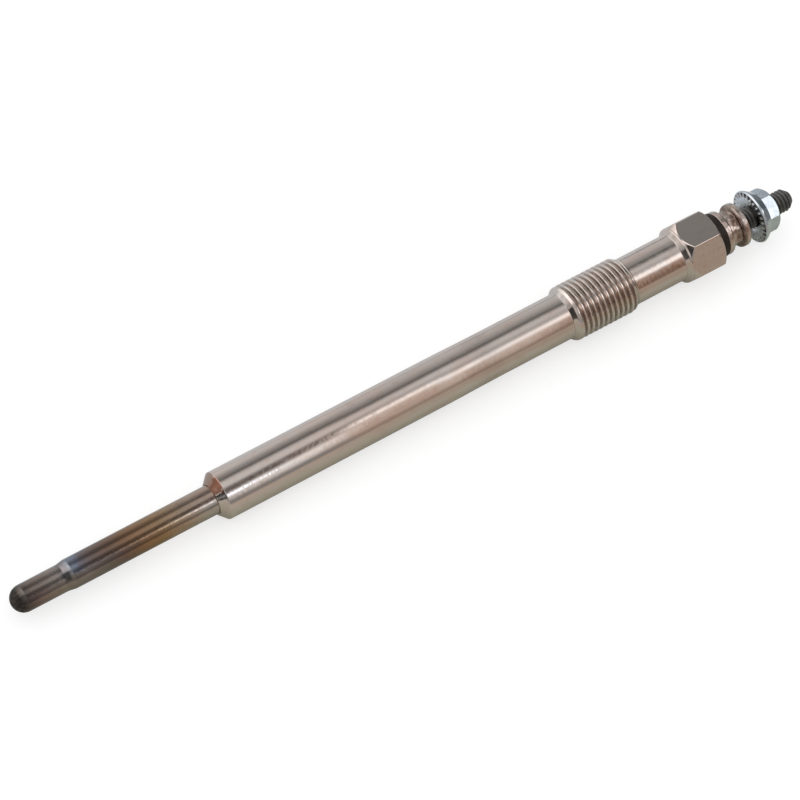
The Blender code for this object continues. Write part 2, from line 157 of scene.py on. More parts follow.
# %% [markdown]
# No turned part has a perfectly sharp corner: the tool tip leaves a small round, and that round
# is what catches a thin line of light. The Bevel modifier could make it, but it would need a
# different width at each corner. Here a corner is replaced by a short curve as the profile is
# made, and one more row on each side holds the flat next to it flat.

# %% Ease the corners of a profile
def plain(points, columns):
    """Rows straight from a list of (station, radius), each a number or an array round the axis."""
    rows = [np.stack(np.broadcast_arrays(z, r, np.zeros(columns))[:2], 1) for z, r in points]
    return np.stack(rows).astype(float)


def eased(points, eases, columns, steps=4):
    """Rows of a profile whose corners are rounded, all but its first and last point.

    Each corner P becomes (1-t)^2 A + 2t(1-t) P + t^2 B, where A and B lie on the two sides at
    the ease's distance in mm, or at 0.4 of the side where that is shorter.
    """
    line = plain(points, columns)
    side = np.diff(line, axis=0)
    length = np.linalg.norm(side, axis=2, keepdims=True)
    way = side / np.maximum(length, 1e-9)
    reach = np.minimum(np.reshape(eases, (-1, 1, 1)), 0.4 * np.minimum(length[:-1], length[1:]))
    start, end = line[1:-1] - way[:-1] * reach, line[1:-1] + way[1:] * reach
    t = np.linspace(0, 1, steps).reshape(1, -1, 1, 1)
    curve = (1 - t) ** 2 * start[:, None] + 2 * t * (1 - t) * line[1:-1, None] + t ** 2 * end[:, None]
    hold = 0.25 * reach
    held = [(start - way[:-1] * hold)[:, None], curve, (end + way[1:] * hold)[:, None]]
    rows = np.concatenate(held, 1).reshape(-1, columns, 2)
    return np.concatenate([line[:1], rows, line[-1:]])


# %% [markdown]
# A hexagon is a round bar with six flats. Seen round the axis, a flat at the distance f lies at
# f / cos(angle from the flat's middle), so it is closest in the middle and furthest at the
# corner. The columns are packed close together near each corner, so that the thin worn line
# along it is crisp. The end of a hexagon is turned to a crown, which leaves curved edges on the
# flats: a Boolean could cut it, but here the profile simply bends in where it meets each flat.

# %% Measure round a hexagon
def hexagon(angles, across_flats, corner_r, first_flat):
    """Distance to a hexagon's side at each angle, cut off at the worn corners' radius."""
    away = (angles - first_flat + np.pi / 6) % (np.pi / 3) - np.pi / 6
    return np.minimum(across_flats / 2 / np.cos(away), corner_r)


def columns_near(corners_at, sector, step):
    """Angles round the axis, step degrees apart, with extra ones close to each corner."""
    close = np.array([0.0, 0.45, 0.95, 1.6])
    inside = np.concatenate([close, np.arange(3.0, sector - 2.9, step), sector - close[:0:-1]])
    turns = np.arange(0, 360, sector)
    return np.radians(np.sort(((turns[:, None] + inside).ravel() + corners_at) % 360))


def crown(side_r, end, height, face_r, width):
    """Points of a rounded end, a quarter ellipse from the hexagon's side in to its end face.

    At the angle a the station is end - height + height sin a and the radius is
    face_r + width cos a. The angle starts where the ellipse meets the side.
    """
    start = np.arccos((side_r - face_r) / width)
    turns = [start + (np.pi / 2 - start) * share for share in (0.0, 0.3, 0.55, 0.8)]
    return [(end - height + height * np.sin(a), face_r + width * np.cos(a)) for a in turns]


body_angles = columns_near(corners_at=0.0, sector=60.0, step=2.0)
print("columns round the body:", len(body_angles))

# %% [markdown]
# The body screws into the cylinder head with a metric fine thread of 1 mm pitch. A thread is a
# groove that moves along by one pitch with each turn, so the place in the groove is the
# station divided by the pitch, less the share of a turn. The radius is the smaller of two
# things: the bar's own outline, with its lead cone and its run-out, and the V of the groove.
# A smooth minimum rounds the crests as rolling and plating do.

# %% Work out a thread
ROOT_EASE = 0.02


def smooth_min(a, b, soft):
    """The smaller of a and b, blended where they are within a few times soft of each other."""
    low = np.minimum(a, b)
    return low - soft * np.log(np.exp(-(a - low) / soft) + np.exp(-(b - low) / soft))


def threaded(stations, angles, outline, pitch, start, root_r, root_flat, soft):
    """Rows of a thread: outline gives the bar's radius at each station.

    With p the distance from the groove's middle, the V is root_r + (|p| - root_flat / 2)
    divided by tan 30 degrees, eased at the root. The first turn starts on the underside and
    gets its depth over a twelfth of a turn.
    """
    bar = np.broadcast_to(np.interp(stations, *outline)[:, None], (len(stations), len(angles)))
    turn = (angles + np.pi / 2) / (2 * np.pi) % 1
    place = (stations[:, None] - start) / pitch - turn
    nearest = np.floor(place + 0.5)
    off = np.abs(place - nearest) * pitch - root_flat / 2
    rise = (off + np.sqrt(off ** 2 + ROOT_EASE ** 2)) / 2 / np.tan(np.radians(30))
    run_in = np.where(nearest < 0, 1, np.where(nearest == 0, np.clip(1 - 12 * turn, 0, 1), 0))
    radius = smooth_min(bar, root_r + rise + run_in * pitch, soft)
    return np.stack([np.broadcast_to(stations[:, None], bar.shape), radius], 2)


# %% [markdown]
# The body is one long turned bar. It starts at the seat, a 45 degree cone that seals against the
# cylinder head, then comes the smooth lower part, a tiny step, the lead cone of the thread, the
# thread, a plain shank, a collar and the hexagon with its rounded end. Stations are in
# millimetres from the glow tip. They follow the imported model, but its corners are eased, and
# the step and the cone before the collar are a little longer, as the reflections show them.

# %% Build the body
BODY_SEAT = (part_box("plug_body")[0].x - TIP_X) / MM
BODY_END = (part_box("plug_body")[1].x - TIP_X) / MM
SEAT_TOP = 38.3
THREAD_START = 105.0
HEX_START = 129.0
LEAD_SLOPE = 1.38
ROWS_A_TURN = 22
TUBE_HOLE_R, LOWER_R, UPPER_R, THREAD_R = 2.65, 4.2, 4.1, 4.93
SHANK_R, COLLAR_R, CORNER_R, FACE_R = 4.22, 4.99, 5.73, 4.3
BORE_R, SEAL_BORE_R = 3.0, 3.4
columns = len(body_angles)
side_r = hexagon(body_angles, 10.0, CORNER_R, np.pi / 2)
lead_z = HEX_START + LEAD_SLOPE * (side_r - COLLAR_R)
front = eased(
    [(BODY_SEAT, TUBE_HOLE_R), (BODY_SEAT, 2.85), (SEAT_TOP, LOWER_R), (81.5, LOWER_R), (88.7, UPPER_R),
     (104.95, UPPER_R)],
    [0.08, 0.12, 2.8, 2.8], columns
)
bar_line = (
    [104.9, 105.25, 105.9, 106.1, 106.35, 106.65, 117.0, 117.3, 118.3, 119.0],
    [UPPER_R, UPPER_R, 4.74, 4.85, 4.91, THREAD_R, THREAD_R, 4.89, SHANK_R, SHANK_R]
)
thread = threaded(
    np.arange(THREAD_START, 118.9, 1 / ROWS_A_TURN), body_angles, bar_line,
    pitch=1.0, start=106.35, root_r=4.385, root_flat=0.1, soft=0.012
)
back = eased(
    [(118.95, SHANK_R), (128.07, SHANK_R), (128.75, COLLAR_R), (HEX_START, COLLAR_R), (lead_z, side_r)]
    + crown(side_r, BODY_END, 1.5, FACE_R, 1.5735)
    + [(BODY_END, FACE_R), (BODY_END, SEAL_BORE_R), (BODY_END - 2, SEAL_BORE_R)],
    [0.08, 0.1, 0.08, 0.12, 0.08, 0.3, 0.3, 0.3, 0.12, 0.08], columns
)
bore = plain(
    [(BODY_END - 5.45, SEAL_BORE_R), (BODY_END - 5.45, BORE_R), (64.15, BORE_R), (63.8, TUBE_HOLE_R)], columns
)
plug_body = surface("nickel_body", np.concatenate([front, thread, back, bore]), body_angles, True)
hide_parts("plug_body")
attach(plug_body, "root")

# %% [markdown]
# The glow tube is a thin alloy tube whose end is drawn down and closed to a dome. The step
# where it narrows was swaged, so it is a short cone with soft ends. The tube goes on inside
# the body to its open end, and it is hollow, because a heater wire in white powder fills it.

# %% Build the glow tube
tube_angles = np.linspace(0, 2 * np.pi, 144, endpoint=False)
columns = len(tube_angles)
TUBE_END = (tube_high.x - TIP_X) / MM
TIP_R, TUBE_R, TIP_BORE_R, TUBE_BORE_R = 2.325, 2.55, 1.725, 1.95
CONE_START, CONE_END = 9.3, 10.6
dome = [(TIP_R - TIP_R * np.sin(a), TIP_R * np.cos(a)) for a in np.radians(np.linspace(88, 0, 20))]
outside = [(2.6, TIP_R), (CONE_START, TIP_R), (CONE_END, TUBE_R), (TUBE_END, TUBE_R)]
inside = [(CONE_END, TUBE_BORE_R), (CONE_START, TIP_BORE_R), (1.2, TIP_BORE_R), (1.2, 0.1)]
tube_rows = np.concatenate([
    plain(dome, columns),
    eased(outside + [(TUBE_END, TUBE_BORE_R), (62.0, TUBE_BORE_R)], [0.12, 0.15, 0.1, 0.1], columns),
    plain(inside, columns),
])
glow_tube = surface("glow_sheath", tube_rows, tube_angles, False)
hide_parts("glow_tube")
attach(glow_tube, "root")

# %% [markdown]
# The black insulator keeps the live stud away from the body. It is one moulded piece: a flange
# that shows as a thin black line, and a sleeve that reaches into the body down to a rubber ring.

# %% Build the insulating bush
bush_low, bush_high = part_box("insulating_bush")
BUSH_START = (bush_low.x - TIP_X) / MM
BUSH_END = (bush_high.x - TIP_X) / MM
FLANGE_START = BUSH_END - 1.35
STUD_HOLE_R, SLEEVE_R, FLANGE_R = 2.07, 3.3, 4.0
bush_rows = eased(
    [(BUSH_START, STUD_HOLE_R), (BUSH_START, SLEEVE_R), (FLANGE_START, SLEEVE_R), (FLANGE_START, FLANGE_R),
     (BUSH_END, FLANGE_R), (BUSH_END, STUD_HOLE_R)],
    [0.2, 0.05, 0.12, 0.12], columns
)
bush = surface("black_bush", bush_rows, tube_angles, True)
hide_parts("insulating_bush")
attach(bush, "root")

# %% [markdown]
# The round nut holds the insulator down and is then crimped to the stud, so that it can never
# turn again. The crimping tool leaves eight dents round the waist, and the metal between them
# is pushed up in soft folds. A sculpted mesh could show that, but a few waves of different
# lengths round and along the nut give the same look from a formula.

# %% Build the crimped round nut
nut_angles = np.linspace(0, 2 * np.pi, 180, endpoint=False)
columns = len(nut_angles)
CLAMP_START = (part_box("round_nut")[0].x - TIP_X) / MM
WAIST_R, RIM_R = 3.26, 3.96
hollow = np.radians([0, 30, 60])
lower = [(CLAMP_START + 0.8 + 0.5 * np.sin(a), WAIST_R + 0.7 * np.cos(a)) for a in hollow]
upper = [(CLAMP_START + 3.5 - 0.5 * np.sin(a), WAIST_R + 0.7 * np.cos(a)) for a in hollow[::-1]]
outline = eased(
    [(CLAMP_START, STUD_HOLE_R), (CLAMP_START, RIM_R)] + lower
    + [(CLAMP_START + 1.3, WAIST_R), (CLAMP_START + 3.0, WAIST_R)] + upper
    + [(CLAMP_START + 4.3, RIM_R), (CLAMP_START + 4.7, 3.56), (CLAMP_START + 4.7, STUD_HOLE_R)],
    [0.1, 0.15, 0.2, 0.2, 0.15, 0.15, 0.2, 0.2, 0.15, 0.15, 0.08], 1, 5
)[:, 0]
arc = np.concatenate([[0], np.cumsum(np.linalg.norm(np.diff(outline, axis=0), axis=1))])
fine = np.union1d(arc, np.arange(arc[0], arc[-1], 0.07))
outline = np.stack([np.interp(fine, arc, outline[:, 0]), np.interp(fine, arc, outline[:, 1])], 1)
along = outline[:, :1] - CLAMP_START
waist = np.exp(-((along - 2.15) / 0.95) ** 4)
dent = waist * 0.07 * (1 - np.cos(8 * nut_angles + 0.4 * np.sin(2 * nut_angles)))
folds = 0.05 * np.sin(5 * nut_angles + 2.1 * along) + 0.035 * np.sin(9 * nut_angles - 3.3 * along + 1.0)
folds = folds + 0.015 * np.sin(14 * nut_angles + 6.7 * along + 2.0)
outer = np.clip((outline[:, 1:] - 2.6) / 0.6, 0, 1)
clamp_r = outline[:, 1:] - dent - outer * (0.35 + 0.65 * waist) * (0.06 - folds * 0.55)
clamp_rows = np.stack([np.broadcast_to(outline[:, :1], clamp_r.shape), clamp_r], 2)
round_nut = surface("crimped_nut", clamp_rows, nut_angles, True)
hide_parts("round_nut")
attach(round_nut, "root")

# %% [markdown]
# The flange nut clamps the supply cable. Twenty-four radial grooves bite into the cable eye and
# keep the nut from working loose. Each groove is a V cut into the bearing face, so the face's
# station is pushed along by the depth of the nearest V, and each groove fades at both ends.

# %% Build the flange nut
NUT_START = (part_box("terminal_nut")[0].x - TIP_X) / MM
NUT_END = (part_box("terminal_nut")[1].x - TIP_X) / MM
flange_angles = np.unique(np.round(np.concatenate([
    np.radians(np.arange(0, 360, 1.5)), columns_near(corners_at=30.0, sector=60.0, step=60.0)
]), 6))
columns = len(flange_angles)
nut_side = hexagon(flange_angles, 6.8, 3.9, 0.0)
GROOVE_DEPTH = 0.3
half_space = np.radians(7.5)
tooth = np.abs((flange_angles + half_space) % (2 * half_space) - half_space)
groove_ends = np.array([3.66, 3.72, 3.8, 4.1, 4.5, 4.56, 4.62])
groove_share = np.array([0.0, 0.7, 1.0, 1.0, 1.0, 0.7, 0.0])
grooves = [
    (NUT_START + share * np.clip(GROOVE_DEPTH - r * tooth, 0, GROOVE_DEPTH), r)
    for r, share in zip(groove_ends, groove_share)
]
flange = [(0.0, 4.64), (0.0, 4.7), (0.3, 4.83), (0.5, 4.76), (1.75, 3.95), (1.77, nut_side)]
nut_rows = np.concatenate([
    plain([(NUT_START, STUD_HOLE_R)] + grooves, columns),
    eased(
        [(NUT_START + z, r) for z, r in flange] + crown(nut_side, NUT_END, 1.1, 3.05, 0.976)
        + [(NUT_END, 3.05), (NUT_END, 2.3), (NUT_END - 0.35, STUD_HOLE_R), (NUT_END - 1.5, STUD_HOLE_R)],
        [0.06, 0.1, 0.1, 0.03, 0.05, 0.1, 0.2, 0.2, 0.2, 0.06, 0.05, 0.05], columns
    ),
])
flange_nut = surface("flange_nut", nut_rows, flange_angles, True)
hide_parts("terminal_nut")
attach(flange_nut, "root")

# %% [markdown]
# The centre rod carries the current from the terminal to the heater. Its outer end is an M4
# stud with a thread of 0.7 mm pitch, blackened against rust, and its inner end is a thin plain
# pin. It is made with the same thread formula as the body, with smaller numbers.

# %% Build the threaded stud
rod_angles = np.linspace(0, 2 * np.pi, 96, endpoint=False)
columns = len(rod_angles)
rod_low, rod_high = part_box("centre_rod")
ROD_START = (rod_low.x - TIP_X) / MM
ROD_END = (rod_high.x - TIP_X) / MM
PIN_END = ROD_START + 3
STUD_PITCH = 0.7
PIN_R, NECK_R, STUD_R = 0.65, 1.2, 1.97
stud_line = ([136.0, ROD_END - 1.05, ROD_END], [STUD_R, STUD_R, 1.1])
stud = threaded(
    np.arange(137.6, ROD_END - 0.02, STUD_PITCH / 16), rod_angles, stud_line,
    pitch=STUD_PITCH, start=138.2, root_r=1.55, root_flat=0.1, soft=0.02
)
shaft = eased(
    [(ROD_START, 0.05), (ROD_START, PIN_R), (PIN_END, PIN_R), (PIN_END, NECK_R), (63.8, NECK_R),
     (64.8, STUD_R), (137.5, STUD_R)],
    [0.1, 0.05, 0.1, 0.1, 0.1], columns
)
cap = plain([(ROD_END, 1.05), (ROD_END, 0.6), (ROD_END, 0.1)], columns)
centre_rod = surface("threaded_stud", np.concatenate([shaft, stud, cap]), rod_angles, False)
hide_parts("centre_rod")
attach(centre_rod, "root")

# %% [markdown]
# Every finish here has the same few effects in it: rings left by the lathe, cloudy patches in
# the plating, bright worn edges and darkened hollows. Each effect is a node group that is
# built once and placed in each material with its own numbers. A group gives out only masks and
# heights, and the shader itself stays in the material.

# %% Helpers for node groups
def new_group(name, inputs, outputs):
    """An empty shader group with float inputs {name: value} and float outputs."""
    group = bpy.data.node_groups.new(name, "ShaderNodeTree")
    for label, value in inputs.items():
        group.interface.new_socket(label, in_out="INPUT", socket_type="NodeSocketFloat").default_value = value
    for label in outputs:
        group.interface.new_socket(label, in_out="OUTPUT", socket_type="NodeSocketFloat")
    return group, group.nodes.new("NodeGroupInput").outputs, group.nodes.new("NodeGroupOutput").inputs


def feed(tree, socket, value):
    """Link an output to an input socket, or set a plain value on it."""
    if isinstance(value, bpy.types.NodeSocket):
        tree.links.new(value, socket)
    else:
        socket.default_value = value


def math_node(tree, operation, *values):
    """A Math node fed by sockets or plain numbers, given back as its output."""
    node = tree.nodes.new("ShaderNodeMath")
    node.operation = operation
    for socket, value in zip(node.inputs, values):
        feed(tree, socket, value)
    return node.outputs[0]


def multiply(tree, first, second):
    """The product of two values, each a socket or a number."""
    return math_node(tree, "MULTIPLY", first, second)


def vector_node(tree, operation, *values):
    """A Vector Math node fed by sockets or plain vectors, given back as its outputs."""
    node = tree.nodes.new("ShaderNodeVectorMath")
    node.operation = operation
    for socket, value in zip(node.inputs, values):
        feed(tree, socket, value)
    return node.outputs


def split_xyz(tree, vector):
    """The parts of a vector, as outputs named X, Y and Z."""
    node = tree.nodes.new("ShaderNodeSeparateXYZ")
    tree.links.new(vector, node.inputs[0])
    return node.outputs


def spread(tree, value, low, high, to_low=0.0, to_high=1.0, curve="SMOOTHSTEP"):
    """Map low..high of a value onto to_low..to_high, softly unless the curve is LINEAR."""
    node = tree.nodes.new("ShaderNodeMapRange")
    node.interpolation_type = curve
    levels = {"Value": value, "From Min": low, "From Max": high, "To Min": to_low, "To Max": to_high}
    for label, number in levels.items():
        feed(tree, node.inputs[label], number)
    return node.outputs["Result"]


def object_noise(tree, scale_x, scale_yz, detail=3.0, shift=0.0):
    """Noise on the object's own coordinates, with different fineness along and across the axis."""
    fineness = tree.nodes.new("ShaderNodeCombineXYZ")
    for socket, value in zip(fineness.inputs, (scale_x, scale_yz, scale_yz)):
        feed(tree, socket, value)
    place = tree.nodes.new("ShaderNodeTexCoord").outputs["Object"]
    place = vector_node(tree, "MULTIPLY", place, fineness.outputs[0])["Vector"]
    place = vector_node(tree, "ADD", place, (shift, shift * 0.7, shift * 1.3))["Vector"]
    noise = tree.nodes.new("ShaderNodeTexNoise")
    noise.inputs["Scale"].default_value = 1.0
    noise.inputs["Detail"].default_value = detail
    noise.inputs["Roughness"].default_value = 0.6
    tree.links.new(place, noise.inputs["Vector"])
    return noise.outputs["Fac"]


# %% [markdown]
# The lathe leaves rings, so their noise is very fine along the axis and stretched round it.
# Patches are even noise, cut softly between two levels: one pair of numbers gives clouds,
# another gives speckles. Worn edges come from the numbers on the points, broken up by noise,
# because wear is never even. Painted image textures could hold all three, but noise on the
# object's own coordinates needs no unwrapping and stays sharp close up.

# %% Build the shared effects
rings = {"Rings per metre": 5000.0, "Waver": 150.0}
turning, given, taken = new_group("turning_marks", rings, ["Height", "Streaks"])
fine_rings = object_noise(turning, given["Rings per metre"], given["Waver"], 2.0)
tremble = multiply(turning, given["Waver"], 4.0)
few_rings = multiply(turning, given["Rings per metre"], 0.25)
broad_rings = object_noise(turning, few_rings, tremble, 2.0, 7.0)
height = multiply(turning, broad_rings, 0.85)
turning.links.new(math_node(turning, "MULTIPLY_ADD", fine_rings, 0.15, height), taken["Height"])
turning.links.new(spread(turning, broad_rings, 0.35, 0.65), taken["Streaks"])

levels = {"Per metre": 300.0, "Stretch": 1.0, "Low": 0.4, "High": 0.6}
patches, given, taken = new_group("patches", levels, ["Mask"])
stretched = multiply(patches, given["Per metre"], given["Stretch"])
cloud = object_noise(patches, stretched, given["Per metre"], 5.0, 3.0)
patches.links.new(spread(patches, cloud, given["Low"], given["High"]), taken["Mask"])

worn, given, taken = new_group("edge_and_hollow_masks", {"Amount": 1.0, "Per metre": 900.0}, ["Edge", "Hollow"])
# Hollow masks the darkened hollows: painted shade on the plated finishes, black oxide on the stud.
for label, output in (("edge", "Edge"), ("hollow", "Hollow")):
    layer = worn.nodes.new("ShaderNodeAttribute")
    layer.attribute_name = label
    broken = object_noise(worn, given["Per metre"], given["Per metre"], 3.0, 11.0)
    broken = spread(worn, broken, 0.25, 0.6, 0.35, 1.0)
    amount = multiply(worn, layer.outputs["Fac"], broken)
    amount = multiply(worn, amount, given["Amount"])
    worn.links.new(math_node(worn, "MINIMUM", amount, 1.0), taken[output])
print("groups:", [group.name for group in bpy.data.node_groups])

# %% [markdown]
# A finish lies on the metal in layers: plating, then stains, then worn edges and darkened
# hollows. So each colour is built up in the same order, and a mask says where a layer shows. The
# nodes could be dragged together by hand, but with a few helpers each layer is one line that can
# be read. Some stains sit in one place only, so helpers also tell a point's place along the plug,
# the side it is turned to and how far it is from the axis.

# %% Helpers for materials
def new_finish(name, metallic=0.0, specular=0.5):
    """A new material, given back with its node tree and its Principled BSDF."""
    material = bpy.data.materials.new(name)
    material.use_nodes = True
    shader = material.node_tree.nodes["Principled BSDF"]
    shader.inputs["Metallic"].default_value = metallic
    shader.inputs["Specular IOR Level"].default_value = specular
    print("finish:", name)
    return material, material.node_tree, shader


def use(tree, group, **values):
    """Place a group, with its inputs given by name, spaces written as underscores."""
    node = tree.nodes.new("ShaderNodeGroup")
    node.node_tree = group
    for label, value in values.items():
        node.inputs[label.replace("_", " ")].default_value = value
    return node.outputs


def blend_colour(tree, mask, first, second):
    """Mix two colours, each a socket or a linear colour, by a mask."""
    node = tree.nodes.new("ShaderNodeMix")
    node.data_type = "RGBA"
    for number, value in ((0, mask), (6, first), (7, second)):
        feed(tree, node.inputs[number], (*value, 1.0) if isinstance(value, tuple) else value)
    return node.outputs[2]


def add_layer(tree, under, mask, amount, colour):
    """Lay a colour over what is under it, where a mask shows it and at most by an amount."""
    return blend_colour(tree, multiply(tree, mask, amount), under, colour)


def patch_mask(tree, per_metre, low, high, stretch=1.0):
    """A mask of patches, so many per metre, cut softly between the levels low and high."""
    return use(tree, patches, Per_metre=per_metre, Low=low, High=high, Stretch=stretch)["Mask"]


def vary_roughness(tree, shader, mask, low, high):
    """Let the roughness go from low to high with a mask."""
    tree.links.new(spread(tree, mask, 0.0, 1.0, low, high), shader.inputs["Roughness"])


def bump(tree, shader, height, distance):
    """Feed a height from 0 to 1, which stands for a distance in metres, into the shader's normal."""
    node = tree.nodes.new("ShaderNodeBump")
    node.inputs["Distance"].default_value = distance
    tree.links.new(height, node.inputs["Height"])
    tree.links.new(node.outputs["Normal"], shader.inputs["Normal"])


def along_axis(tree, stations):
    """Where a point lies along the plug, as 0 at the first of two stations and 1 at the second."""
    place = split_xyz(tree, tree.nodes.new("ShaderNodeTexCoord").outputs["Object"])
    low, high = (TIP_X + station * MM for station in stations)
    return spread(tree, place["X"], low, high, curve="LINEAR")


def off_axis(tree):
    """The vector from the plug's axis straight out to a point."""
    place = tree.nodes.new("ShaderNodeTexCoord").outputs["Object"]
    place = vector_node(tree, "SUBTRACT", place, (0.0, 0.0, AXIS_HEIGHT))["Vector"]
    return vector_node(tree, "MULTIPLY", place, (0.0, 1.0, 1.0))["Vector"]


def turned_to(tree, degrees):
    """1 where a point lies in a direction from the axis, given from +Y towards +Z, and -1 opposite."""
    direction = (0.0, np.cos(np.radians(degrees)), np.sin(np.radians(degrees)))
    outwards = vector_node(tree, "NORMALIZE", off_axis(tree))["Vector"]
    return vector_node(tree, "DOT_PRODUCT", outwards, direction)["Value"]


def from_axis(tree):
    """How far a point is from the plug's axis, in metres."""
    return vector_node(tree, "LENGTH", off_axis(tree))["Value"]


def ramp(tree, value, stops):
    """A colour ramp from (position, linear colour) stops."""
    node = tree.nodes.new("ShaderNodeValToRGB")
    elements = node.color_ramp.elements
    while len(elements) < len(stops):
        elements.new(1.0)
    for element, (position, colour) in zip(elements, stops):
        element.position = position
        element.color = (*colour, 1.0)
    tree.links.new(value, node.inputs[0])
    return node.outputs["Color"]


# %% [markdown]
# The body is steel with a thin bright nickel plating. It is a metal, so its colour is the colour
# of its reflections: a warm grey that goes pinkish in cloudy patches and here and there coppery.
# Edges are rubbed bright, and this light edge tint is also a painted highlight on the crests and
# rounded corners. Corners and hollows are darkened with a painted shade.

# %% Nickel plating on the body
nickel, tree, shader = new_finish("nickel_plate", metallic=1.0)
cloudy = patch_mask(tree, 260.0, 0.38, 0.66, stretch=0.35)
copper = patch_mask(tree, 900.0, 0.5, 0.72, stretch=0.5)
edges_and_hollows = use(tree, worn, Amount=1.0, Per_metre=1500.0)
tint = blend_colour(tree, cloudy, (0.70, 0.625, 0.58), (0.72, 0.595, 0.535))
tint = add_layer(tree, tint, copper, 0.4, (0.62, 0.47, 0.39))
# Rubbed edges, partly a painted highlight on crests and rounded corners.
tint = add_layer(tree, tint, edges_and_hollows["Edge"], 0.6, (0.86, 0.79, 0.74))
# Painted shade: corners and hollows darkened.
tint = add_layer(tree, tint, edges_and_hollows["Hollow"], 0.85, (0.11, 0.10, 0.085))

# %% [markdown]
# In the engine the seat cone sits in hot gas. It has burnt a ragged copper-brown patch on the
# upper side of the cone, with paler brown round it. Oil creeps into the thread and dries there,
# so the thread is browner and duller the deeper a point lies, and its darkening towards the roots
# is painted shade in the grooves. A painted mask could place these, but the place along the
# plug, the side and the distance from the axis say it as well.

# %% Burnt seat, and oil with painted shade in the thread
on_seat = spread(tree, along_axis(tree, (36.0, 40.0)), 0.57, 0.62, 1.0, 0.0)
brown_stain_and_waist_shade = multiply(tree, on_seat, spread(tree, turned_to(tree, 60.0), 0.6, 0.85, 0.0, 0.8))
tint = blend_colour(tree, brown_stain_and_waist_shade, tint, (0.35, 0.22, 0.165))
ragged = patch_mask(tree, 1500.0, 0.3, 0.6)
upper_side = math_node(tree, "MULTIPLY_ADD", ragged, 0.1, turned_to(tree, 93.0))
burnt = multiply(tree, on_seat, spread(tree, upper_side, 0.97, 1.03, 0.0, 0.95))
tint = blend_colour(tree, burnt, tint, (0.31, 0.14, 0.09))
past_lead, past_thread = along_axis(tree, (106.2, 106.6)), along_axis(tree, (117.4, 117.7))
in_thread = math_node(tree, "SUBTRACT", past_lead, past_thread)
# Painted shade: the deeper a point lies in the thread, the darker and browner it is.
deep = spread(tree, from_axis(tree), 4.55 * MM, 4.88 * MM, 1.0, 0.0)
oil_and_groove_shade = patch_mask(tree, 1300.0, 0.25, 0.65)
oil_and_groove_shade = math_node(tree, "MULTIPLY_ADD", oil_and_groove_shade, 0.45, 0.3)
oil_and_groove_shade = multiply(tree, multiply(tree, in_thread, deep), oil_and_groove_shade)
tint = blend_colour(tree, oil_and_groove_shade, tint, (0.37, 0.31, 0.27))
tree.links.new(tint, shader.inputs["Base Color"])

# %% [markdown]
# The lathe's rings still show under the plating and break the highlights into fine jagged lines.
# The lower body is ground after it is turned, so it is smoother, most of all past its first
# centimetre, and the hexagon is smooth bar stock. Real rings could be cut in the
# mesh, but they are a few thousandths of a millimetre high, so a bump is all that they need.

# %% Rings and gloss of the body
marks = use(tree, turning, Rings_per_metre=7000.0, Waver=300.0)
before_thread = math_node(tree, "LESS_THAN", along_axis(tree, (0.0, THREAD_START)), 1.0)
before_hexagon = math_node(tree, "LESS_THAN", along_axis(tree, (0.0, HEX_START)), 1.0)
past_start = spread(tree, along_axis(tree, (46.0, 53.0)), 0.0, 1.0)
smoothest = multiply(tree, past_start, before_thread)
ringed = math_node(tree, "MULTIPLY_ADD", before_thread, -0.45, before_hexagon)
ringed = math_node(tree, "MULTIPLY_ADD", smoothest, -0.46, ringed)
bump(tree, shader, multiply(tree, marks["Height"], ringed), 0.013 * MM)
rough = spread(tree, marks["Streaks"], 0.0, 1.0, 0.08, 0.15)
rough = multiply(tree, rough, math_node(tree, "MULTIPLY_ADD", before_thread, -0.45, 1.0))
tree.links.new(math_node(tree, "MULTIPLY_ADD", oil_and_groove_shade, 0.2, rough), shader.inputs["Roughness"])
plug_body.data.materials.append(nickel)

# %% [markdown]
# The glow tube has been hot. Bare alloy grows a thin oxide film when it is heated, and the film's
# thickness gives its colour: straw, then gold, copper-brown, purple and blue towards the tip.
# The colours lie in bands along the tube, so a colour ramp along the axis carries them, with the
# places in millimetres from the tip. The upper side is bluer than the front, so each has a ramp
# of its own, and noise moves the band edges a little. The dome is black with soot, which isn't a
# metal, so Metallic is off there.

# %% Temper colours on the glow tube
temper, tree, shader = new_finish("heat_tinted_alloy", specular=0.25)
BANDS_LENGTH = 40.0
place = along_axis(tree, (0.0, BANDS_LENGTH))
waver = patch_mask(tree, 500.0, 0.25, 0.75, stretch=0.6)
place = multiply(tree, place, math_node(tree, "MULTIPLY_ADD", waver, 0.06, 0.97))
SOOT = [(0.0, (0.012, 0.012, 0.011)), (1.25, (0.013, 0.012, 0.011))]
top_bands = SOOT + [
    (1.4, (0.06, 0.056, 0.052)), (2.2, (0.15, 0.13, 0.12)), (3.5, (0.235, 0.19, 0.165)),
    (6.0, (0.285, 0.24, 0.215)), (8.0, (0.34, 0.295, 0.275)), (9.8, (0.275, 0.25, 0.26)),
    (10.7, (0.26, 0.285, 0.33)), (11.7, (0.215, 0.25, 0.34)), (12.7, (0.195, 0.18, 0.21)),
    (14.2, (0.205, 0.158, 0.15)), (17.7, (0.22, 0.15, 0.117)), (20.3, (0.28, 0.17, 0.105)),
    (22.5, (0.33, 0.20, 0.122)), (26.0, (0.37, 0.24, 0.145)), (29.0, (0.40, 0.285, 0.19)),
    (32.0, (0.425, 0.325, 0.255)), (35.0, (0.495, 0.38, 0.32)),
]
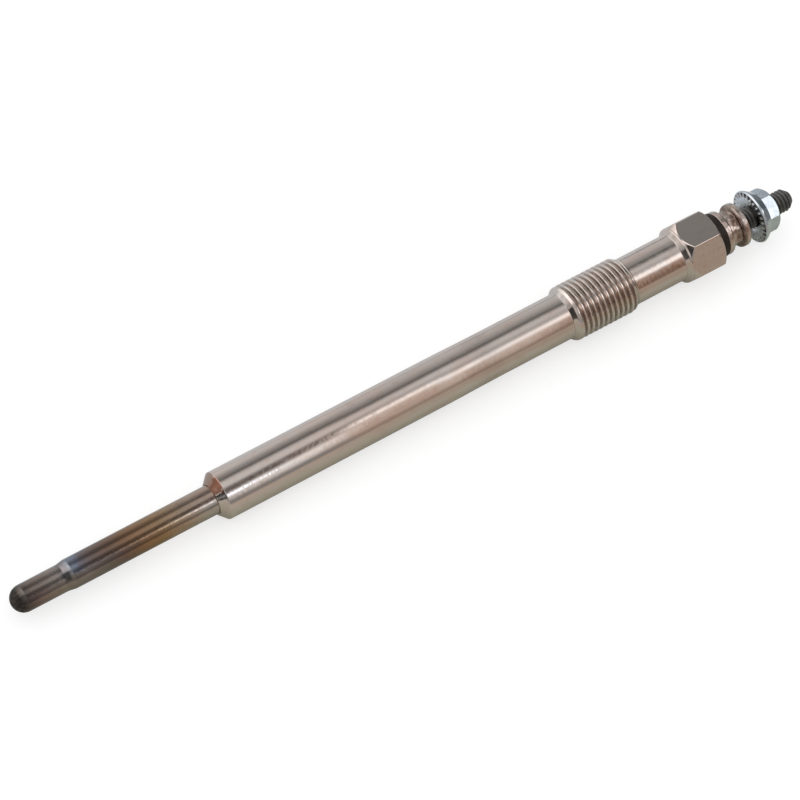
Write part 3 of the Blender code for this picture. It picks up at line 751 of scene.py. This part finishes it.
front_bands = SOOT + [
    (1.4, (0.055, 0.05, 0.046)), (2.2, (0.13, 0.105, 0.095)), (3.5, (0.21, 0.145, 0.13)),
    (6.0, (0.32, 0.24, 0.21)), (8.5, (0.35, 0.29, 0.245)), (11.0, (0.30, 0.25, 0.22)),
    (13.0, (0.305, 0.255, 0.235)), (15.1, (0.255, 0.215, 0.19)), (17.0, (0.235, 0.185, 0.16)),
    (19.5, (0.23, 0.152, 0.123)), (21.7, (0.285, 0.172, 0.107)), (24.0, (0.35, 0.195, 0.106)),
    (27.0, (0.395, 0.245, 0.125)), (29.6, (0.46, 0.315, 0.21)), (32.0, (0.515, 0.385, 0.29)),
    (34.0, (0.54, 0.45, 0.37)), (36.5, (0.54, 0.48, 0.43)),
]
top = ramp(tree, place, [(z / BANDS_LENGTH, colour) for z, colour in top_bands])
front_side = ramp(tree, place, [(z / BANDS_LENGTH, colour) for z, colour in front_bands])
bands = blend_colour(tree, spread(tree, turned_to(tree, 75.0), 0.5, 0.75), front_side, top)

# %% [markdown]
# Combustion leaves more on the tube: faint brown streaks along it and fine dots of soot. The
# cone is darkened a little all round and much more on its side turned to the camera, which is a
# painted dark reflection. They lie over the tempered colours, so they are mixed in after them.
# The soot of the dome also dulls it, so it raises the roughness there.

# %% Streaks, soot, a painted dark reflection and gloss of the tube
streaks = patch_mask(tree, 1800.0, 0.4, 0.7, stretch=0.25)
bands = add_layer(tree, bands, streaks, 0.25, (0.20, 0.13, 0.09))
soot = patch_mask(tree, 2600.0, 0.56, 0.72)
bands = add_layer(tree, bands, soot, 0.35, (0.05, 0.042, 0.04))
on_cone = spread(tree, place, 8.56 / BANDS_LENGTH, 9.28 / BANDS_LENGTH)
off_cone = spread(tree, place, 9.8 / BANDS_LENGTH, 10.4 / BANDS_LENGTH)
on_cone = math_node(tree, "SUBTRACT", on_cone, off_cone)
# Painted dark reflection on the cone, strongest on the side turned to the camera.
cone_dark_reflection = multiply(tree, on_cone, spread(tree, turned_to(tree, 124.0), 0.91, 0.99, 0.1, 0.85))
bands = blend_colour(tree, cone_dark_reflection, bands, (0.045, 0.05, 0.05))
tree.links.new(bands, shader.inputs["Base Color"])
bare = spread(tree, place, 1.2 / BANDS_LENGTH, 1.4 / BANDS_LENGTH)
tree.links.new(bare, shader.inputs["Metallic"])
marks = use(tree, turning, Rings_per_metre=4500.0, Waver=500.0)
rough = spread(tree, marks["Streaks"], 0.0, 1.0, 0.08, 0.13)
sooty = math_node(tree, "SUBTRACT", 1.0, bare)
tree.links.new(math_node(tree, "MULTIPLY_ADD", sooty, 0.4, rough), shader.inputs["Roughness"])
bump(tree, shader, marks["Height"], 0.004 * MM)
glow_tube.data.materials.append(temper)

# %% [markdown]
# The insulator is a glass-filled black plastic. It isn't a metal, so its colour is its own, and
# its gloss comes from the smooth mould. Fine pits break the gloss a little.

# %% Black plastic
plastic, tree, shader = new_finish("black_insulating_plastic", specular=0.3)
speckle = patch_mask(tree, 3000.0, 0.35, 0.75)
edges_and_hollows = use(tree, worn, Amount=0.7, Per_metre=2000.0)
tint = blend_colour(tree, speckle, (0.010, 0.005, 0.002), (0.022, 0.013, 0.007))
tint = add_layer(tree, tint, edges_and_hollows["Edge"], 0.3, (0.10, 0.085, 0.07))
tree.links.new(tint, shader.inputs["Base Color"])
vary_roughness(tree, shader, speckle, 0.42, 0.6)
bump(tree, shader, speckle, 0.008 * MM)
bush.data.materials.append(plastic)

# %% [markdown]
# The round nut has the same plating as the body, but it was bent after it was plated. So it is
# blotchy, with brown stains and bright tops on the folds, and its crimped waist and hollows are
# darkened brown as painted shade.

# %% Nickel on the crimped nut
crimped, tree, shader = new_finish("crimped_nickel", metallic=1.0)
cloudy = patch_mask(tree, 700.0, 0.35, 0.65)
stains = patch_mask(tree, 1500.0, 0.46, 0.7, stretch=0.7)
edges_and_hollows = use(tree, worn, Amount=1.0, Per_metre=1500.0)
tint = blend_colour(tree, cloudy, (0.64, 0.565, 0.51), (0.67, 0.52, 0.465))
tint = add_layer(tree, tint, stains, 0.4, (0.34, 0.23, 0.175))
# Painted shade: the crimped waist is darkened brown.
shaded_waist = along_axis(tree, (CLAMP_START, CLAMP_START + 5.0))
shaded_waist = multiply(tree, spread(tree, shaded_waist, 0.3, 0.45), spread(tree, shaded_waist, 0.66, 0.78, 1.0, 0.0))
brown_stain_and_waist_shade = multiply(tree, shaded_waist, spread(tree, cloudy, 0.0, 1.0, 0.6, 0.95))
tint = blend_colour(tree, brown_stain_and_waist_shade, tint, (0.18, 0.115, 0.085))
tint = add_layer(tree, tint, edges_and_hollows["Edge"], 0.5, (0.85, 0.78, 0.74))
# Painted shade in the hollows.
tint = add_layer(tree, tint, edges_and_hollows["Hollow"], 0.5, (0.17, 0.115, 0.08))
tree.links.new(tint, shader.inputs["Base Color"])
vary_roughness(tree, shader, stains, 0.15, 0.28)
bump(tree, shader, cloudy, 0.03 * MM)
round_nut.data.materials.append(crimped)

# %% [markdown]
# The flange nut is steel with bright zinc plating, which is a little bluer and whiter than
# nickel. Zinc dulls in small patches, and its edges are rubbed bright by the spanner. Its
# grooves and hollows are darkened as painted shade.

# %% Bright zinc
zinc, tree, shader = new_finish("bright_zinc", metallic=1.0)
cloudy = patch_mask(tree, 600.0, 0.4, 0.65)
spots = patch_mask(tree, 3500.0, 0.58, 0.72)
edges_and_hollows = use(tree, worn, Amount=1.0, Per_metre=1500.0)
tint = blend_colour(tree, cloudy, (0.64, 0.69, 0.74), (0.55, 0.60, 0.64))
tint = add_layer(tree, tint, spots, 0.4, (0.40, 0.41, 0.42))
tint = add_layer(tree, tint, edges_and_hollows["Edge"], 0.6, (0.86, 0.88, 0.90))
# Painted shade in the grooves and hollows.
tint = add_layer(tree, tint, edges_and_hollows["Hollow"], 0.4, (0.3, 0.3, 0.3))
tree.links.new(tint, shader.inputs["Base Color"])
marks = use(tree, turning, Rings_per_metre=5000.0, Waver=900.0)
vary_roughness(tree, shader, cloudy, 0.12, 0.2)
bump(tree, shader, marks["Height"], 0.006 * MM)
flange_nut.data.materials.append(zinc)

# %% [markdown]
# The stud is blackened steel. The black is a thin layer that rubs through first on the crests of
# the thread, so the crests are dark grey and the roots stay black.

# %% Blackened steel
black, tree, shader = new_finish("blackened_steel", metallic=1.0)
cloudy = patch_mask(tree, 1200.0, 0.35, 0.7)
edges_and_hollows = use(tree, worn, Amount=1.0, Per_metre=1800.0)
tint = blend_colour(tree, cloudy, (0.17, 0.165, 0.16), (0.24, 0.23, 0.22))
tint = add_layer(tree, tint, edges_and_hollows["Edge"], 0.3, (0.34, 0.335, 0.33))
tint = add_layer(tree, tint, edges_and_hollows["Hollow"], 0.6, (0.07, 0.068, 0.065))
tree.links.new(tint, shader.inputs["Base Color"])
vary_roughness(tree, shader, cloudy, 0.45, 0.6)
bump(tree, shader, cloudy, 0.01 * MM)
centre_rod.data.materials.append(black)

# %% [markdown]
# The pieces inside can't be seen, but the model can be cut open or taken apart, so they get
# finishes too: drawn resistance wire, pressed white powder and two kinds of rubber.

# %% Finishes of the inner pieces
inner = {
    "heating_coil": ((0.42, 0.39, 0.37), (0.30, 0.27, 0.25), 1.0, 0.35),
    "control_coil": ((0.56, 0.54, 0.50), (0.42, 0.40, 0.37), 1.0, 0.3),
    "magnesia_filling": ((0.84, 0.83, 0.80), (0.66, 0.64, 0.60), 0.0, 0.85),
    "tube_seal": ((0.36, 0.13, 0.09), (0.26, 0.09, 0.06), 0.0, 0.6),
    "body_seal": ((0.03, 0.03, 0.03), (0.015, 0.015, 0.015), 0.0, 0.5),
}
for node_name, (light, dark, metallic, rough) in inner.items():
    finish, tree, shader = new_finish(node_name + "_finish", metallic)
    cloudy = patch_mask(tree, 1500.0, 0.35, 0.7)
    grain = patch_mask(tree, 9000.0, 0.3, 0.7, stretch=0.4)
    tree.links.new(blend_colour(tree, cloudy, light, dark), shader.inputs["Base Color"])
    vary_roughness(tree, shader, grain, rough - 0.08, rough + 0.08)
    bump(tree, shader, grain, 0.006 * MM)
    frame["nodes"][node_name].data.materials.clear()
    frame["nodes"][node_name].data.materials.append(finish)
print("materials:", sorted(material.name for material in bpy.data.materials))

# %% [markdown]
# The plug rests on a plain white table: on the big end of the seat cone and on the first thread
# crest, so it slopes a little more than half a degree to the table. The table is lit as any
# surface is, which keeps the shadow, and camera rays see some light of its own on top, which
# makes it white without one more lamp on the metal. The metal shows the table behind the plug
# paler and cooler than in front of it, as beside a window, and darker beyond the terminal.

# %% Put the table under the plug
FIRST_CREST = 106.2
rest_x = np.array([TIP_X + SEAT_TOP * MM, TIP_X + FIRST_CREST * MM])
rest_z = AXIS_HEIGHT - np.array([LOWER_R, THREAD_R]) * MM
slope, level = np.polyfit(rest_x, rest_z, 1)
corners = [(-2.0, -2.0), (2.0, -2.0), (2.0, 2.0), (-2.0, 2.0)]
floor_mesh = bpy.data.meshes.new("table_top")
floor_mesh.from_pydata([(x, y, slope * x + level) for x, y in corners], [], [(0, 1, 2, 3)])
floor = bpy.data.objects.new("table_top", floor_mesh)
bpy.context.scene.collection.objects.link(floor)
table, tree, shader = new_finish("white_table", specular=0.0)
shader.inputs["Roughness"].default_value = 0.9
place = split_xyz(tree, tree.nodes.new("ShaderNodeTexCoord").outputs["Object"])
table_x, table_y = place["X"], place["Y"]
reflected = blend_colour(tree, spread(tree, table_x, -0.04, 0.05), (0.51, 0.48, 0.43), (0.43, 0.37, 0.31))
reflected = blend_colour(tree, spread(tree, table_y, -0.025, -0.008), reflected, (0.475, 0.485, 0.415))
reflected = blend_colour(tree, spread(tree, table_y, -0.004, 0.008), reflected, (0.64, 0.67, 0.69))
beyond = multiply(tree, spread(tree, table_x, 0.085, 0.095), spread(tree, table_y, -0.08, -0.05))
reflected = blend_colour(tree, beyond, reflected, (0.2, 0.21, 0.21))
ray = tree.nodes.new("ShaderNodeLightPath").outputs
seen = blend_colour(tree, ray["Is Glossy Ray"], (0.45, 0.45, 0.45), reflected)
tree.links.new(seen, shader.inputs["Base Color"])
tree.links.new(multiply(tree, ray["Is Camera Ray"], 0.62), shader.inputs["Emission Strength"])
shader.inputs["Emission Color"].default_value = (1.0, 1.0, 1.0, 1.0)
floor_mesh.materials.append(table)
print("the table slopes", round(float(np.degrees(np.arctan(slope))), 3), "degrees")

# %% [markdown]
# Polished round metal shows its whole surroundings as stripes along it, so the studio is built
# as stripes: soft boxes above and in front, darker gaps between them, and a pale backdrop behind.
# They run along the plug, so the brightness depends on a direction's angle round the x axis, and
# a colour ramp holds one set of stripes. The x part of the direction chooses the set. On a round
# bar it grows slowly from the tip to the terminal, so six sets follow each other along the plug.
# Only reflections see the stripes: to the camera the studio is plain white, and matt surfaces
# are lit by the same plain white.

# %% Build the studio round the plug
studio = bpy.data.worlds.new("studio")
bpy.context.scene.world = studio
studio.use_nodes = True
tree = studio.node_tree
background = tree.nodes["Background"]
way = split_xyz(tree, tree.nodes.new("ShaderNodeTexCoord").outputs["Generated"])
angle = math_node(tree, "ARCTAN2", way["Z"], way["Y"])
share = math_node(tree, "MULTIPLY_ADD", angle, 1 / (2 * np.pi), 0.5)
BELOW = [
    (-180, (0.50, 0.46, 0.40)), (-155, (0.48, 0.45, 0.39)), (-120, (0.36, 0.37, 0.33)), (-60, 0.5),
    (-25, 0.68)
]
NEAR_THE_TIP = BELOW + [
    (0, 0.67), (12, 0.67), (22, 0.60), (32, 0.48), (44, 0.32), (54, 0.22), (59, 0.15), (64, 0.25),
    (71, 0.55), (79, 0.70), (91, 0.72), (97, 0.60), (102, 0.36)
]
IN_THE_MIDDLE = BELOW + [
    (0, (0.60, 0.62, 0.63)), (20, 0.57), (36, 0.48), (50, 0.36), (60, 0.23), (66, 0.17), (72, 0.32),
    (79, 0.60)
]


def stripes(stops):
    """A ramp over the angle round the x axis, in degrees from +Y towards +Z, of greys or colours."""
    levels = [(degrees, (level,) * 3 if np.isscalar(level) else level) for degrees, level in stops]
    return ramp(tree, share, [((degrees + 180) / 360, level) for degrees, level in levels])


def from_x(low, high):
    """0 where a direction's x is below low, 1 where it is above high."""
    return spread(tree, way["X"], low, high)


far_tip = stripes(BELOW + [
    (0, 0.72), (14, 0.72), (26, 0.62), (38, 0.43), (50, 0.29), (61, 0.29), (70, 0.48), (78, 0.68),
    (92, 0.71), (100, 0.55), (108, 0.30), (116, 0.22), (130, 0.22), (142, 0.38), (154, 0.36), (165, 0.26),
    (175, 0.27), (180, 0.34)
])
tube_root = stripes(NEAR_THE_TIP + [
    (107, 0.18), (113, 0.10), (119, 0.12), (125, 0.35), (129, 0.9), (133, (2.8, 3.3, 4.0)),
    (139, (2.8, 3.3, 4.0)), (143, 1.1), (147, 0.5), (156, 0.45), (166, 0.28), (175, 0.27), (180, 0.36)
])
near_tip = stripes(NEAR_THE_TIP + [
    (107, (0.21, 0.18, 0.17)), (113, (0.15, 0.12, 0.11)), (119, (0.18, 0.15, 0.14)), (125, 0.46),
    (131, 0.86), (137, 1.02), (145, 1.00), (151, 0.86), (158, 0.62), (164, 0.36), (169, 0.26), (175, 0.27),
    (180, 0.36)
])
before_step = stripes(IN_THE_MIDDLE + [
    (88, 0.68), (96, 0.58), (103, 0.50), (107, 0.66), (112, 1.05), (118, 1.34), (124, 0.98),
    (129, (0.74, 0.66, 0.60)), (136, (0.60, 0.52, 0.46)), (150, (0.55, 0.46, 0.40)),
    (160, (0.56, 0.47, 0.41)), (168, (0.42, 0.35, 0.30)), (176, (0.35, 0.29, 0.24)),
    (180, (0.40, 0.35, 0.29))
])
middle = stripes(IN_THE_MIDDLE + [
    (88, 0.69), (98, 0.58), (107, 0.48), (112, 0.62), (118, 1.0), (124, 1.22), (130, 1.0),
    (136, (0.80, 0.72, 0.67)), (144, (0.70, 0.63, 0.57)), (156, (0.63, 0.55, 0.49)),
    (164, (0.53, 0.45, 0.40)), (170, (0.39, 0.32, 0.27)), (176, (0.36, 0.30, 0.25)),
    (180, (0.40, 0.35, 0.29))
])
near_end = stripes(BELOW + [
    (0, (0.59, 0.62, 0.64)), (22, 0.59), (32, 0.55), (44, 0.42), (54, 0.34), (59, (0.30, 0.34, 0.35)),
    (64, 0.17), (71, 0.16), (77, 0.33), (84, 0.57), (92, 0.64), (100, 0.56), (109, 0.50), (114, 0.76),
    (119, 1.18), (125, 1.45), (131, 1.20), (135, (0.80, 0.72, 0.67)), (140, (0.44, 0.34, 0.29)),
    (150, (0.32, 0.22, 0.17)), (160, (0.26, 0.17, 0.12)), (170, (0.21, 0.13, 0.09)),
    (176, (0.25, 0.17, 0.13)), (180, (0.34, 0.28, 0.23))
])
mixed = blend_colour(tree, from_x(0.254, 0.272), far_tip, tube_root)
for low, high, following in (
    (0.277, 0.282, near_tip), (0.3112, 0.3135, before_step), (0.341, 0.349, middle), (0.369, 0.382, near_end)
):
    mixed = blend_colour(tree, from_x(low, high), mixed, following)
print("nodes in the studio so far:", len(tree.nodes))

# %% [markdown]
# Edges, cones and end faces look elsewhere. A rounded edge sweeps through directions with an x
# round 0, where a strong soft box hangs overhead, so the edge gets its thin line of light. Cones
# that face the tip look back along the plug, where the room is dark in front. The nut's facets
# look on past the terminal, and one small lamp there makes one facet white.

# %% Light for edges, cones and facets
towards_tip = stripes([
    (-180, 0.05), (-150, 0.05), (-130, 0.30), (-60, 0.5), (0, 0.55), (20, 0.62), (36, 0.80), (60, 0.62),
    (74, 0.42), (94, 0.46), (102, 0.05), (176, 0.05), (180, 0.25)
])
overhead = stripes([
    (-180, (0.50, 0.46, 0.40)), (-120, 0.36), (-60, 0.5), (0, 0.85), (30, 1.25), (60, 1.55), (88, 1.35),
    (102, 0.50), (125, 0.60), (150, 0.40), (180, 0.34)
])
along_plug = stripes([
    (-180, 0.40), (-60, 0.5), (0, 0.66), (98, 0.66), (108, 0.08), (134, 0.08), (146, 0.36), (180, 0.36)
])
mixed = blend_colour(tree, from_x(0.08, 0.18), overhead, mixed)
mixed = blend_colour(tree, from_x(-0.72, -0.62), towards_tip, mixed)
mixed = blend_colour(tree, from_x(-0.975, -0.945), along_plug, mixed)
mixed = blend_colour(tree, from_x(0.66, 0.93), mixed, (0.10, 0.12, 0.13))
small_lamp = from_x(0.425, 0.44)
for low, high in ((107, 115), (136, 127)):
    edge = spread(tree, share, (low + 180) / 360, (high + 180) / 360)
    small_lamp = multiply(tree, small_lamp, edge)
mixed = blend_colour(tree, small_lamp, mixed, (1.9, 1.92, 1.98))
glossy = tree.nodes.new("ShaderNodeLightPath").outputs["Is Glossy Ray"]
tree.links.new(blend_colour(tree, glossy, (1.0, 1.0, 1.0), mixed), background.inputs["Color"])
print("nodes in the studio:", len(tree.nodes))

# %% [markdown]
# The camera looks down at the plug from the glow-tip side with a long lens, so that the shape is
# hardly narrowed by distance. Its direction was found from the ellipses of the round edges and
# from the length of the plug in the picture.

# %% Place the camera
DISTANCE = 0.61397
MIDDLE_X = -0.00287
TO_THE_LEFT, UPWARDS = 0.000155, 0.000048
back = np.array([-0.3289, -0.4521, 0.8291])
back /= np.linalg.norm(back)
level_way = np.array([1.0, 0.0, 0.0]) - back * back[0]
level_way /= np.linalg.norm(level_way)
rise_way = np.cross(back, level_way)
turned = np.radians(27.66)
right = level_way * np.cos(turned) - rise_way * np.sin(turned)
up = level_way * np.sin(turned) + rise_way * np.cos(turned)
aim = np.array([MIDDLE_X, 0.0, AXIS_HEIGHT]) - right * TO_THE_LEFT + up * UPWARDS
matrix = np.eye(4)
matrix[:3, :3] = np.stack([right, up, back], 1)
matrix[:3, 3] = aim + back * DISTANCE
lens = bpy.data.cameras.new("photo_view")
lens.sensor_width = 36.0
lens.lens = 168.75
lens.clip_start = 0.01
camera = bpy.data.objects.new("photo_view", lens)
camera.matrix_world = matrix.T.tolist()
bpy.context.scene.collection.objects.link(camera)
bpy.context.scene.camera = camera
bpy.context.scene.view_settings.view_transform = "Standard"
print("the camera is", round(DISTANCE, 3), "m away, with a lens of", lens.lens, "mm")
